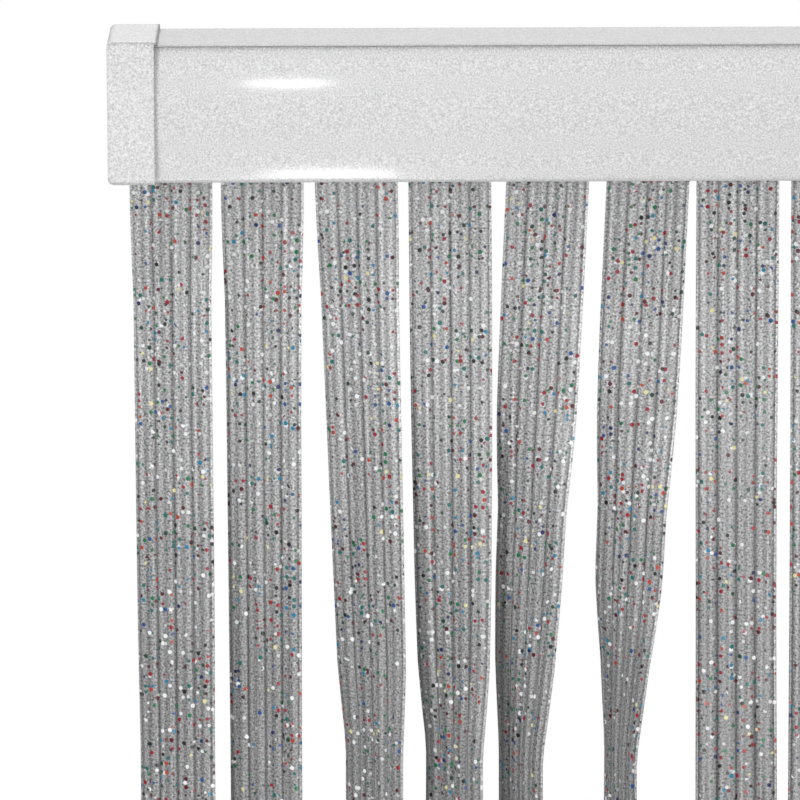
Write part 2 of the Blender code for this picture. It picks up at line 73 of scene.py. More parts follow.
# How the first strips turn, in degrees at shares of the way down their heads, and how they lean
HEAD_DROP = 0.149
HEAD_START = 0.0075
HEAD_TURN_SHARES = (0.0, 0.2, 0.4, 0.57, 0.7, 0.85, 1.0)
HEAD_TURNS = (
    (0.0, 18.0, 18.0, 18.0, 18.0, 20.0, 23.0),
    (0.0, 21.0, 24.0, 25.0, 26.0, 27.0, 28.0),
    (0.0, 19.0, 24.0, 27.0, 30.0, 33.0, 46.0),
    (0.0, 3.0, 10.0, 17.0, 21.0, 29.0, 47.0),
    (0.0, 7.0, 14.0, 35.0, 37.0, 45.0, 59.0),
    (0.0, 2.0, 16.0, 35.0, 37.0, 56.0, 69.0),
)
HEAD_LEAN_SHARES = (0.02, 0.0, 0.19, 0.04, -0.33, -0.32)
HEAD_FADE_SHARE = 0.16

# How a strip hangs further down: waves of turn in degrees, lean and depth. Each pair is a least
# value and a chance addition, and a wave's length is a share of the strip's.
PHASE_STEPS = (0.618034, 0.414214, 0.302776)
SLOW_LENGTH = (0.42, 0.24)
QUICK_LENGTH = (0.2, 0.07)
SLOW_TURN = (22, 18)
QUICK_TURN = (6, 7)
WAVE_LEAN_SHARE = 0.3
WAVE_DEPTH_SHARE = 0.08
WAVE_START_SHARE = 0.1

# Rings of a strip, from its head down
RINGS_TOP = -0.009
NEAR_RINGS_END = -0.2
NEAR_RINGS_STEP = 0.005
FAR_RINGS = 116

# Section of a strip
FLANGE_WIDTH = 0.0007
FLANGE_HALF = 0.00026
RIB_COUNT = 4
RIB_FOOT_HALF = 0.00024
RIB_RISE = 0.00078
RIB_ROUND = 0.8
RIB_DENT = 0.00024
DENT_SHARE = 0.3
# Painted shade in a rib's dent, as a share of that beside the rib
DENT_PAINTED_SHADE = 0.8
BACK_RISE_SHARE = 0.35
RIB_COLUMNS = 12
EDGE_COLUMNS = 3
EDGE_TIP_SHARE = 0.02
# Painted shade on the left flange, as a share of the painted highlight on the right one
LEFT_EDGE_PAINTED_SHADE = -0.7
STRIP_CREASE = 62

# Loop of a strip round the rod, and how much flatter the strip is in it and at the rail's mouth
LOOP_RADIUS = 0.0031
LOOP_START_DEGREES = -25.0
LOOP_END_DEGREES = 205.0
LOOP_STEPS = 16
CURVE_STEPS = 8
TAIL_Y = 0.00125
TAIL_END = -0.0066
TAIL_PULL = -0.0046
ENTRY_PULL = 0.0014
LEAVE_PULL = 0.0016
FALL_END = -0.0072
FALL_PULL = -0.0052
LOOP_FLATTEN = 0.45
LOOP_FOOT = -0.0075
LOOP_FOOT_SPAN = 0.0035
MOUTH_SHARE = 0.65
MOUTH_FOOT = -0.026
MOUTH_SPAN = 0.012

# Grey of a strip. Scales are patches a metre, across and along where there are two. The others say
# how pale it is and how far each pattern moves that.
PVC_CLOUD_SCALE = 55.0
PVC_GRAIN_SCALE = 1700.0
PVC_STREAK_SCALES = (1400.0, 14.0)
PVC_BAND_SCALES = (300.0, 5.0)
PVC_LEVEL = 0.3
PVC_CLOUD = 0.079
# Painted light: how much paler a strip is near its head, and the run over which it fades out
PVC_PAINTED_HEAD_LIGHT = 0.76
PVC_PAINTED_HEAD_LIGHT_SPAN = (0.02, 0.17)
PVC_GRAIN = 3.6
PVC_STREAK = 0.8
PVC_BAND = 0.7
PVC_SPECKLE_FLOOR = 0.1
# Painted shade in the grooves and dents, at its strongest
PVC_PAINTED_GROOVE_SHADE = 0.56
# Painted highlight on the right edge; the left edge gets painted shade instead
PVC_PAINTED_EDGE_LIGHT = 0.3
PVC_BLUE = 1.01

# Glitter in a strip: shift of the pattern, cell, radius, and least and greatest share of cells
COLOURED_FLAKES = ((0.0, 0.0, 0.0), 0.0021, 0.00051, 0.16, 0.96)
PALE_FLAKES_AND_GLINTS = ((0.31, 0.17, 0.0), 0.0023, 0.0005, 0.04, 0.42)
PATTERN_STEP = 0.0617
CROWD_SCALE = 80.0
CROWD_SPAN = (0.4, 0.64)
FLAKE_LEAST = 0.7
FLAKE_SPREAD = 0.5
FLAKE_EDGE = 0.82
# The white and black flakes are partly glitter of those colours and partly painted glints and painted
# shade of flakes turned from the light
FLAKE_COLOURS = (
    (0.0, (0.09, 0.001, 0.006)),
    (0.1, (0.3, 0.003, 0.014)),
    (0.25, (0.46, 0.04, 0.015)),
    (0.31, (0.002, 0.012, 0.1)),
    (0.36, (0.003, 0.07, 0.26)),
    (0.42, (0.003, 0.2, 0.36)),
    (0.49, (0.0, 0.14, 0.13)),
    (0.59, (0.0, 0.05, 0.022)),
    (0.66, (0.002, 0.16, 0.055)),
    (0.77, (0.8, 0.74, 0.36)),
    (0.81, (0.9, 0.91, 0.93)),
    (0.84, (0.002, 0.002, 0.003)),
)
PALE_FLAKE_AND_GLINT_COLOUR = (0.92, 0.93, 0.94)
FULL_TURN = 6.283
HEXAGON_SLANT = 0.866

# Other finishes: patches a metre, levels, radii in metres, and the roughness of the finest noise
ROUGH_NOISE = 0.6
WHITE_CLOUD_SCALE = 30.0
WHITE_GRAIN_SCALE = 2400.0
WHITE_CLOUD = 0.03
WHITE_GRAIN = 1.4
# Painted shade along edges: the most it darkens, and how much along sideways edges
CREASE_SHADE_LIMIT = 0.4
SIDE_CREASE_SHADE = 0.1
# How light the painted shade beside the cap's joint leaves the cap
CAP_SHADE_LEVEL = 0.6
STEEL_CLOUD_SCALE = 240.0
STEEL_LINE_SCALES = (4000.0, 500.0, 500.0)
STEEL_TONES = ((0.5, 0.51, 0.52), (0.63, 0.64, 0.68))
NYLON_CLOUD_SCALE = 320.0
NYLON_GRAIN_SCALE = 2600.0
NYLON_TONES = ((0.7, 0.67, 0.6), (0.8, 0.78, 0.71))
EDGE_ROUND = 0.0005
NYLON_ROUND = 0.0003
CREASE_ROUND = 0.0015

# Front cover of the rail
RAIL_TOP = 0.0177
RAIL_DEPTH = 0.026
PROFILE_HALF = 0.4448
NOSE_HEIGHT = 0.0004
SEAM_GAP = 0.0002
COVER_WALL = 0.0011
COVER_BOW = 0.0008
COVER_FOOT_RADIUS = 0.0014
COVER_RETURN = 0.003
COVER_TOP_CHAMFER = 0.0002
COVER_CREASE = 35
HOOK_LEG_WALL = 0.001
HOOK_RISE = 0.0018
LIP_SETBACK = 0.0036
LIP_WALL = 0.0012
LIP_DROP = 0.0043
FIT_GAP = 0.0003

# Where the painted shade beside a cap's joint ends, from the rail's middle, and how wide its
# edge is
CAP_SHADE_END = 0.4346
CAP_SHADE_EDGE = 0.0006

# Cap screws
SCREW_RADIUS = 0.0014
SCREW_HEAD_RADIUS = 0.0024
SCREW_HEAD_HEIGHT = 0.0014
SCREW_LENGTH = 0.012
SCREW_POINT = 0.002
SCREW_COLUMNS = 64
SCREW_CREASE = 40
FACE_RINGS = 21
FACE_SHARE = 0.95
RIM_SHARES = ((0.02, 0.06), (0.985, 1.0))
SHANK_RINGS = 76
POINT_RINGS = 7
THREAD_PITCH = 0.0009
THREAD_RISE = 0.00016
CROSS_HALF = 0.00032
CROSS_REACH = 0.00135
CROSS_DEPTH = 0.0009
CROSS_SLOPE = 0.00022

# Sky, floor, camera and lamps. A sky has its level straight below and its rise to straight above.
SKY_LEVEL = (0.24, 0.16)
SKY_MIRROR_LEVEL = (0.2, 0.25)
FLOOR_LEVEL = 0.78
FLOOR_GRAIN = 0.02
FLOOR_GRAIN_SCALE = 400.0
FLOOR_DROP = 0.001
FLOOR_SIDES = 96
FLOOR_RINGS = 15
FLOOR_RADII = (0.4, 6.0)
FLOOR_FADE = (3.0, 5.6)
CAMERA_PLACE = (-0.37382, -2.00698, 0.34408)
CAMERA_PITCH_DEGREES = 11.9
CAMERA_ROLL_DEGREES = -0.2
CAMERA_LENS = 360.0
CAMERA_SENSOR = 36.0
CAMERA_REACH = 200.0
LAMPS = (
    dict(name="key", place=(-2.6, -3.6, 0.6), aim=(-0.2, 0, -0.5), size=1.2, power=62),
    dict(name="fill", place=(2.9, -4.4, -0.2), aim=(-0.1, 0, -1.0), size=2.2, power=49),
    dict(name="top", place=(-0.7, -1.0, 3.5), aim=(-0.1, 0, -0.2), size=2.0, power=90),
    dict(name="rear", place=(0.3, 4.4, 2.4), aim=(0, 0, -0.8), size=2.4, power=140, matt=True),
)
GLOSS_CARDS = (
    dict(name="left_card", place=(-0.99, -0.22, 0.02), aim=(-0.41, 0, -0.08),
         size=0.7, tall=0.45, power=1.2),
    dict(name="right_card", place=(0.55, -0.75, -0.25), aim=(-0.35, 0, -0.1),
         size=0.3, tall=1.0, power=1.2),
    dict(name="upper_streak", place=(-0.409, -0.526, -0.0362), aim=(-0.409, -0.026, 0.0115),
         size=0.02, tall=0.01, power=0.036),
    dict(name="lower_streak", place=(-0.396, -0.526, -0.193), aim=(-0.396, -0.026, -0.013),
         size=0.037, tall=0.021, power=0.09),
    dict(name="foot_streak", place=(-0.41, -0.436, -0.304), aim=(-0.41, -0.026, -0.017),
         size=0.12, tall=0.2, power=0.45),
)


# Shader maths

class Shade:
    """A socket in a material's nodes. Arithmetic on it adds Math nodes."""

    def __init__(self, tree, socket=None):
        self.tree = tree
        self.socket = socket

    def node(self, kind, settings=None, values=None, out=0):
        """Adds a node, sets its settings and then the values or links of its sockets."""
        made = self.tree.nodes.new("ShaderNode" + kind)
        for key, value in (settings or {}).items():
            if key == "stops":
                ramp = made.color_ramp.elements
                while len(ramp) < len(value):
                    ramp.new(0.5)
                for stop, (place, tone) in zip(ramp, value):
                    stop.position = place
                    stop.color = (*tone, 1.0)
            elif key == "steps":
                made.color_ramp.interpolation = value
            else:
                setattr(made, key, value)
        for key, value in (values or {}).items():
            if isinstance(value, Shade):
                self.tree.links.new(value.socket, made.inputs[key])
            else:
                made.inputs[key].default_value = value
        return Shade(self.tree, made.outputs[out])

    def maths(self, operation, *values):
        """Adds one Math node."""
        return self.node("Math", {"operation": operation}, dict(enumerate(values)))

    def __add__(self, other):
        return self.maths("ADD", self, other)

    def __radd__(self, other):
        return self.maths("ADD", other, self)

    def __sub__(self, other):
        return self.maths("SUBTRACT", self, other)

    def __rsub__(self, other):
        return self.maths("SUBTRACT", other, self)

    def __mul__(self, other):
        return self.maths("MULTIPLY", self, other)

    def __rmul__(self, other):
        return self.maths("MULTIPLY", other, self)

    def __truediv__(self, other):
        return self.maths("DIVIDE", self, other)

    def __lt__(self, other):
        return self.maths("LESS_THAN", self, other)

    def __abs__(self):
        return self.maths("ABSOLUTE", self)

    def most(self, other):
        """The greater of two values."""
        return self.maths("MAXIMUM", self, other)

    def least(self, other):
        """The smaller of two values."""
        return self.maths("MINIMUM", self, other)

    def cosine(self):
        """The cosine of an angle in radians."""
        return self.maths("COSINE", self)

    def sine(self):
        """The sine of an angle in radians."""
        return self.maths("SINE", self)

    def smooth(self, low, high):
        """A smooth step from 0 at low to 1 at high."""
        settings = {"interpolation_type": "SMOOTHSTEP"}
        return self.node("MapRange", settings, {0: self, 1: low, 2: high})

    def tint(self, first, second):
        """Mixes two colours with this value as the factor."""
        settings = {"data_type": "RGBA"}
        return self.node("Mix", settings, {0: self, 6: first, 7: second}, 2)

    def vector(self, operation, *values, out=0):
        """Adds one Vector Math node."""
        return self.node("VectorMath", {"operation": operation}, dict(enumerate(values)), out)

    def part(self, axis):
        """One component of a vector or colour."""
        return self.node("SeparateXYZ", None, {0: self}, axis)

    def grey(self, blue=1.0):
        """A grey of this level. Its blue may be scaled."""
        last = self if blue == 1.0 else self * blue
        return self.node("CombineColor", None, {0: self, 1: self, 2: last})


def colour(red, green, blue):
    """A linear colour with full alpha."""
    return (red, green, blue, 1.0)


def finish(name, **settled):
    """A material with its shader, whose constant sockets are set directly."""
    made = bpy.data.materials.new(name)
    made.use_nodes = True
    shader = made.node_tree.nodes["Principled BSDF"]
    for key, value in settled.items():
        shader.inputs[key.replace("_", " ")].default_value = value
    return made, shader, Shade(made.node_tree)


def feed(shader, paint, **values):
    """Links varying values to the shader's sockets."""
    for key, value in values.items():
        paint.tree.links.new(value.socket, shader.inputs[key.replace("_", " ")])


def noise(paint, place, scale, detail=2.0, roughness=0.5):
    """A noise value at a place, with about scale patches a metre."""
    values = {"Vector": place, "Scale": scale, "Detail": detail, "Roughness": roughness}
    return paint.node("TexNoise", None, values)


def stretched(paint, place, *scales):
    """A place with each axis scaled."""
    return paint.vector("MULTIPLY", place, scales)


def rounded(paint, radius, samples=6):
    """The surface's normal, rounded over its edges."""
    return paint.node("Bevel", {"samples": samples}, {"Radius": radius})


def bumped(paint, height, strength, distance, normal=None):
    """A normal tilted by the slope of a height, from the given normal where there is one."""
    values = {"Strength": strength, "Distance": distance, "Height": height}
    if normal:
        values["Normal"] = normal
    return paint.node("Bump", None, values)


def object_place(paint):
    """The place in the piece's own metres."""
    return paint.node("TexCoord", None, None, 3)


# Finishes

def flakes(paint, place, shift, cell, radius, low, high):
    """Mask of the flakes of one kind, and the three random numbers of each.

    Flakes are six-sided spots round the points of a Voronoi pattern. Each has a chance turn, size,
    colour and depth, and is left out where its chance is above a slowly varying share.
    """
    moved = paint.vector("ADD", place, shift)
    settings = {"voronoi_dimensions": "2D", "feature": "F1"}
    pattern = paint.node("TexVoronoi", settings, {"Vector": moved, "Scale": 1.0 / cell})
    voronoi = pattern.socket.node
    chance = Shade(paint.tree, voronoi.outputs["Color"])
    centre = Shade(paint.tree, voronoi.outputs["Position"])
    away = paint.vector("SUBTRACT", moved, centre)
    share = noise(paint, moved, CROWD_SCALE).smooth(*CROWD_SPAN) * (high - low) + low
    size = radius * (FLAKE_LEAST + FLAKE_SPREAD * chance.part(2))
    turn = chance.part(0) * FULL_TURN
    cosine, sine = turn.cosine(), turn.sine()
    across = abs(away.part(0) * cosine + away.part(1) * sine)
    along = abs(away.part(1) * cosine - away.part(0) * sine)
    reach = across.most(across * 0.5 + along * HEXAGON_SLANT)
    mask = 1 - (reach / size).smooth(FLAKE_EDGE, 1.0)
    return mask * (chance.part(1) < share), chance


def smoke_pvc():
    """Soft smoke-grey PVC with flakes of glitter: painted shade in the grooves and dents, painted
    shade on the left thin edge and a painted highlight on the right one.

    The grey is paler near the strip's head, a painted light. It varies by a soft cloud and a fine
    grain, and by streaks and bands that are drawn out along the strip.
    """
    made, shader, paint = finish("smoke_pvc", IOR=1.45, Coat_Weight=0.2, Coat_Roughness=0.18)
    place = paint.node("UVMap", {"uv_map": "sheet"})
    groove = paint.node("Attribute", {"attribute_name": "groove"}, None, 2)
    rim = paint.node("Attribute", {"attribute_name": "rim"}, None, 2)

    cloud = noise(paint, place, PVC_CLOUD_SCALE)
    grain = noise(paint, place, PVC_GRAIN_SCALE, roughness=ROUGH_NOISE)
    streak = noise(paint, stretched(paint, place, *PVC_STREAK_SCALES, 1.0), 1.0)
    band = noise(paint, stretched(paint, place, *PVC_BAND_SCALES, 1.0), 1.0)
    # Painted light: the strip is paler near its head, fading out along its run
    head = 1 - place.part(1).smooth(*PVC_PAINTED_HEAD_LIGHT_SPAN)
    level = (PVC_LEVEL + PVC_CLOUD * cloud) * (1 + PVC_PAINTED_HEAD_LIGHT * head)
    speckle = 1 + PVC_GRAIN * (grain - 0.5) + PVC_STREAK * (streak - 0.5) + PVC_BAND * (band - 0.5)
    level = level * speckle.most(PVC_SPECKLE_FLOOR)
    # Painted shade in the grooves and dents, painted shade on the left edge and a painted highlight on
    # the right one
    level = level * (1 - PVC_PAINTED_GROOVE_SHADE * groove) * (1 + PVC_PAINTED_EDGE_LIGHT * rim)
    tone = level.grey(PVC_BLUE)

    coloured, chance = flakes(paint, place, *COLOURED_FLAKES)
    ramp = {"steps": "CONSTANT", "stops": FLAKE_COLOURS}
    hue = paint.node("ValToRGB", ramp, {0: chance.part(0)})
    # Pale flakes: partly white glitter, partly painted glints
    pale, pale_chance = flakes(paint, place, *PALE_FLAKES_AND_GLINTS)
    depth = coloured * (0.85 + 0.15 * chance.part(2))
    tone = (pale * (0.3 + 0.7 * pale_chance.part(2))).tint(tone, colour(*PALE_FLAKE_AND_GLINT_COLOUR))
    tone = depth.tint(tone, hue)
    bump = bumped(paint, grain + 0.5 * streak, strength=0.25, distance=0.0002)
    feed(shader, paint, Base_Color=tone, Roughness=0.22 + 0.16 * grain, Normal=bump)
    return made


def white_finish(name, white, rough, peel, coat, crease, shade_end=None):
    """A white surface with fine grain and faint clouds, and painted shade along its edges.

    A rounded normal less the flat one gives how far an edge bends up or down, and sideways, which
    sets the painted shade. Where a shade's end is given, a painted shade also darkens the surface up
    to that distance from the rail's middle.
    """
    made, shader, paint = finish(name, Coat_Weight=coat, Coat_Roughness=0.08, IOR=1.5)
    place = object_place(paint)
    cloud = noise(paint, place, WHITE_CLOUD_SCALE)
    grain = noise(paint, place, WHITE_GRAIN_SCALE, roughness=ROUGH_NOISE)
    flat = paint.node("NewGeometry", None, None, 1)
    bent = paint.vector("SUBTRACT", rounded(paint, CREASE_ROUND, 8), flat)
    level = 1 + WHITE_CLOUD * (cloud - 0.5) + WHITE_GRAIN * (grain - 0.5)
    # Painted shade along edges that bend up or down, and less along those that bend sideways
    level = level - (crease * abs(bent.part(2))).least(CREASE_SHADE_LIMIT)
    level = level - SIDE_CREASE_SHADE * abs(bent.part(0))
    # Painted shade on the cap beside its joint with the cover
    if shade_end:
        clear = abs(place.part(0)).smooth(shade_end, shade_end + CAP_SHADE_EDGE)
        level = level * (CAP_SHADE_LEVEL + (1 - CAP_SHADE_LEVEL) * clear)
    tone = paint.node("CombineColor", None, {k: level * part for k, part in enumerate(white)})
    bump = bumped(paint, grain, peel, distance=0.0001, normal=rounded(paint, EDGE_ROUND))
    feed(shader, paint, Base_Color=tone, Roughness=rough + 0.1 * (grain - 0.5), Normal=bump)
    return made


def zinc_steel():
    """Zinc-plated steel with fine lines round it and a faint bluish cloud."""
    made, shader, paint = finish("zinc_steel", Metallic=1.0)
    place = object_place(paint)
    cloud = noise(paint, place, STEEL_CLOUD_SCALE)
    lines = noise(paint, stretched(paint, place, *STEEL_LINE_SCALES), 1.0, detail=3.0)
    tone = cloud.tint(*(colour(*tone) for tone in STEEL_TONES))
    edge = rounded(paint, EDGE_ROUND)
    bump = bumped(paint, lines, strength=0.15, distance=0.00005, normal=edge)
    feed(shader, paint, Base_Color=tone, Roughness=0.28 + 0.15 * lines, Normal=bump)
    return made


def natural_nylon():
    """Moulded nylon, a warm white with soft clouds."""
    made, shader, paint = finish("natural_nylon", IOR=1.53)
    place = object_place(paint)
    cloud = noise(paint, place, NYLON_CLOUD_SCALE)
    grain = noise(paint, place, NYLON_GRAIN_SCALE)
    tone = cloud.tint(*(colour(*tone) for tone in NYLON_TONES))
    edge = rounded(paint, NYLON_ROUND)
    bump = bumped(paint, grain, strength=0.2, distance=0.00008, normal=edge)
    feed(shader, paint, Base_Color=tone, Roughness=0.45 + 0.15 * cloud, Normal=bump)
    return made


# Shapes

def ease(value):
    """Smooth step from 0 to 1."""
    value = np.clip(value, 0.0, 1.0)
    return value * value * (3 - 2 * value)


def free_hang(number, share):
    """Turn in degrees, lean and depth of a strip that hangs free.

    Two sine waves of turn, and one each of lean and depth. Their lengths and phases step from strip
    to strip by irrational shares, and all of them grow from nothing over the first tenth.
    """
    first, second, third = (number * step % 1 for step in PHASE_STEPS)

    def chosen(bounds, chance):
        return bounds[0] + bounds[1] * chance

    def wave(length, phase):
        return np.sin(2 * np.pi * (share / length + phase))

    grown = ease(share / WAVE_START_SHARE)
    turn = chosen(SLOW_TURN, third) * wave(chosen(SLOW_LENGTH, second), first)
    turn += chosen(QUICK_TURN, second) * wave(chosen(QUICK_LENGTH, first), third)
    lean = WAVE_LEAN_SHARE * STRIP_GAP * wave(chosen(SLOW_LENGTH, third), second)
    depth = WAVE_DEPTH_SHARE * STRIP_WIDTH * wave(chosen(SLOW_LENGTH, first), third)
    return grown * turn, grown * lean, grown * depth


def hang(number, share):
    """Turn, lean and depth at shares of the length, with the first strips shaped near their heads."""
    turn, lean, depth = free_hang(number, share)
    if number > len(HEAD_TURNS):
        return turn, lean, depth
    down = (share * HANG_LENGTH - HEAD_START) / HEAD_DROP
    head_turn = np.interp(down, HEAD_TURN_SHARES, HEAD_TURNS[number - 1])
    head_lean = HEAD_LEAN_SHARES[number - 1] * STRIP_WIDTH * np.clip(down, 0.0, 1.0)
    fade = ease((share - (HEAD_START + HEAD_DROP) / HANG_LENGTH) / HEAD_FADE_SHARE)
    turn = head_turn + (turn - head_turn) * fade
    lean = head_lean + (lean - head_lean) * fade
    return turn, lean, depth * fade


def strip_section():
    """Across a strip: place, half thickness in front and behind, and the masks of painted light and
    shade.

    Each rib rises over its foot as a power of one less the square of its share across, with a
    shallow dent along its middle, and its columns lie at the cosines of even steps, so they are
    closest in the grooves. The flanges are thin and end in quarter rounds. The mask of painted shade
    is the square of a cosine across the rib, a little weaker in the dent than beside the rib. The
    edge mask paints shade on the left flange and a highlight on the right one.
    """
    steps = -np.cos(np.pi * np.arange(RIB_COLUMNS + 1) / RIB_COLUMNS)
    half = (STRIP_WIDTH - 2 * FLANGE_WIDTH) / RIB_COUNT / 2
    dome = np.clip(1 - steps ** 2, 0, 1) ** RIB_ROUND
    dent = np.exp(-(steps / DENT_SHARE) ** 2)
    # Painted shade across a rib: darkest in the grooves and the dent, lightest on its flanks
    shade = np.cos(np.pi * steps) ** 2 * (DENT_PAINTED_SHADE + (1 - DENT_PAINTED_SHADE) * np.abs(steps))
    front = RIB_FOOT_HALF + RIB_RISE * dome - RIB_DENT * dent
    back = RIB_FOOT_HALF + BACK_RISE_SHARE * RIB_RISE * dome
    places, fronts, backs, grooves, rims = [], [], [], [], []
    for k in range(RIB_COUNT):
        keep = slice(0 if k == 0 else 1, None)
        middle = (2 * k + 1 - RIB_COUNT) * half
        places.append((middle + half * steps)[keep])
        fronts.append(front[keep])
        backs.append(back[keep])
        grooves.append(shade[keep])
        rims.append(np.zeros(len(steps))[keep])
    angles = np.arange(EDGE_COLUMNS) / (EDGE_COLUMNS - 1) * np.pi / 2
    edge = -STRIP_WIDTH / 2 + FLANGE_HALF * (1 - np.cos(angles))
    thick = FLANGE_HALF * (EDGE_TIP_SHARE + (1 - EDGE_TIP_SHARE) * np.sin(angles))
    flat = np.linspace(edge[-1], -STRIP_WIDTH / 2 + FLANGE_WIDTH, 3)[1:-1]
    edge = np.concatenate([edge, flat])
    thick = np.concatenate([thick, np.full(len(flat), FLANGE_HALF)])
    level = np.ones(len(edge))
    place = np.concatenate([edge, *places, -edge[::-1]])
    ahead = np.concatenate([thick, *fronts, thick[::-1]])
    behind = np.concatenate([thick, *backs, thick[::-1]])
    groove = np.concatenate([0 * level, *grooves, 0 * level])
    # Painted light and shade at the edges: shade on the left flange, a highlight on the right one
    rim = np.concatenate([LEFT_EDGE_PAINTED_SHADE * level, *rims, level])
    return place, ahead, behind, groove, rim


def curve_between(start, start_pull, end, end_pull, steps):
    """A cubic Bezier curve: the four points weighted by the shares of a cubic."""
    t = np.linspace(0, 1, steps + 1)[:, None]
    points = [np.array(p, float) for p in (start, start_pull, end_pull, end)]
    weights = ((1 - t) ** 3, 3 * t * (1 - t) ** 2, 3 * t ** 2 * (1 - t), t ** 3)
    return sum(w * p for w, p in zip(weights, points))


def loop_path():
    """Places (y, z) about the rod: up the tail, round the rod and down to the strip's own line."""
    low, high = np.radians([LOOP_START_DEGREES, LOOP_END_DEGREES])
    entry, leave = (LOOP_RADIUS * np.array([np.cos(a), np.sin(a)]) for a in (low, high))
    entry_way, leave_way = (np.array([-np.sin(a), np.cos(a)]) for a in (low, high))
    entry_pull = entry - ENTRY_PULL * entry_way
    leave_pull = leave + LEAVE_PULL * leave_way
    rise = curve_between((TAIL_Y, TAIL_END), (TAIL_Y, TAIL_PULL), entry, entry_pull, CURVE_STEPS)
    angles = np.linspace(low, high, LOOP_STEPS + 1)[1:-1]
    round_rod = LOOP_RADIUS * np.stack([np.cos(angles), np.sin(angles)], 1)
    fall = curve_between(leave, leave_pull, (0.0, FALL_END), (0.0, FALL_PULL), CURVE_STEPS)
    return np.concatenate([rise, round_rod, fall])


def strip_rows():
    """Heights of the rings below the loop: close together near the head, wider further down."""
    near = np.arange(RINGS_TOP, NEAR_RINGS_END, -NEAR_RINGS_STEP)
    far = np.linspace(near[-1], -HANG_LENGTH, FAR_RINGS)[1:]
    return np.concatenate([near, far])


def flattened(height):
    """Share of its thickness that a strip keeps: least in the loop, and a little more at the mouth."""
    in_loop = ease((height - LOOP_FOOT) / LOOP_FOOT_SPAN)
    at_mouth = MOUTH_SHARE * ease((height - MOUTH_FOOT) / MOUTH_SPAN)
    return 1 - LOOP_FLATTEN * np.maximum(in_loop, at_mouth)


def strip_points(number):
    """Rings of a strip about its rod, its UV in metres along and round it, and its masks.

    A ring point lies at its place across along the ring's side direction, and at its half thickness
    along the ring's facing direction. In the loop the facing direction is square to the path. Below
    it, the ring is turned about the strip's own line by the hang.
    """
    place, ahead, behind, groove, rim = strip_section()
    side = np.concatenate([place, place[::-1]])
    face = np.concatenate([-ahead, behind[::-1]])
    loop = loop_path()
    way = np.gradient(loop, axis=0)
    way /= np.linalg.norm(way, axis=1)[:, None]
    rows = strip_rows()
    share = -rows / HANG_LENGTH
    turn, lean, depth = hang(number, share)
    angle = np.radians(turn)[:, None]

    squeezed = face[None] * flattened(loop[:, 1])[:, None]
    relief = face[None] * flattened(rows)[:, None]
    normal_y = -way[:, 1][:, None]
    normal_z = way[:, 0][:, None]
    head = np.stack([
        np.broadcast_to(side, squeezed.shape),
        loop[:, 0][:, None] + squeezed * normal_y,
        loop[:, 1][:, None] + squeezed * normal_z,
    ], 2)
    body = np.stack([
        lean[:, None] + side * np.cos(angle) + relief * np.sin(angle),
        depth[:, None] - side * np.sin(angle) + relief * np.cos(angle),
        np.broadcast_to(rows[:, None], (len(rows), len(side))),
    ], 2)
    points = np.concatenate([head, body])
    centres = np.concatenate([loop, np.stack([0 * rows, rows], 1)])
    run = np.concatenate([[0], np.cumsum(np.linalg.norm(np.diff(centres, axis=0), axis=1))])
    around = np.concatenate([[0], np.cumsum(np.hypot(np.diff(side), np.diff(face)))])
    masks = {
        "groove": np.concatenate([groove, groove[::-1]]),
        "rim": np.concatenate([rim, rim[::-1]]),
    }
    return points, run, around, masks


def mesh_piece(name, points, faces, material, crease=None):
    """A piece from its points and faces, smooth but for edges sharper than a crease in degrees."""
    mesh = bpy.data.meshes.new(name)
    mesh.from_pydata(points, [], faces)
    mesh.materials.append(material)
    mesh.shade_smooth()
    if crease:
        mesh.set_sharp_from_angle(angle=math.radians(crease))
    made = bpy.data.objects.new(name, mesh)
    bpy.context.scene.collection.objects.link(made)
    return made


def grid_faces(rows, columns):
    """Four-cornered faces between neighbouring rings of points, which close on themselves."""
    row = np.arange(rows - 1)[:, None] * columns
    here = np.arange(columns)[None]
    after = (here + 1) % columns
    faces = np.stack([row + here, row + after, row + columns + after, row + columns + here], 2)
    return faces.reshape(-1, 4)


def make_strip(number, material):
    """One strip with its loop, as a closed tube of rings with both ends filled."""
    points, run, around, masks = strip_points(number)
    rows, ring = points.shape[:2]
    slide = SLIDE_SHARES[number - 1] if number <= len(SLIDE_SHARES) else 0
    middle = (number - (STRIP_COUNT + 1) / 2) * STRIP_PITCH + slide * STRIP_GAP
    placed = points.reshape(-1, 3) + np.array([middle, ROD_Y, ROD_Z])
    faces = grid_faces(rows, ring)
    k = np.arange(ring // 2 - 1)
    first_end = np.stack([k, ring - 1 - k, ring - 2 - k, k + 1], 1)
    last_end = first_end[:, ::-1] + (rows - 1) * ring
    faces = np.concatenate([faces, first_end, last_end])[:, ::-1]
    name = f"strip_{number:02d}"
    piece = mesh_piece(f"ribbed_{name}", placed, faces.tolist(), material, STRIP_CREASE)
    mesh = piece.data
    corner = np.zeros(len(mesh.loops), np.int32)
    mesh.loops.foreach_get("vertex_index", corner)
    across = around[corner % ring] + PATTERN_STEP * number
    along = run[corner // ring]
    layer = mesh.uv_layers.new(name="sheet")
    layer.data.foreach_set("uv", np.stack([across, along], 1).astype(np.float32).ravel())
    for label, values in masks.items():
        spread = np.tile(values, rows).astype(np.float32)
        mesh.attributes.new(label, "FLOAT", "POINT").data.foreach_set("value", spread)
    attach(piece, name)
    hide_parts(name)


def arc(centre, radius, start, end, steps):
    """Points of an arc, from a start to an end angle in degrees."""
    angles = np.radians(np.linspace(start, end, steps + 1))
    return np.stack([centre[0] + radius * np.cos(angles), centre[1] + radius * np.sin(angles)], 1)


def cover_front(z):
    """Where the bowed front lies at a height: a parabola, foremost at mid height."""
    return -(RAIL_DEPTH - COVER_BOW * (z / RAIL_TOP) ** 2)


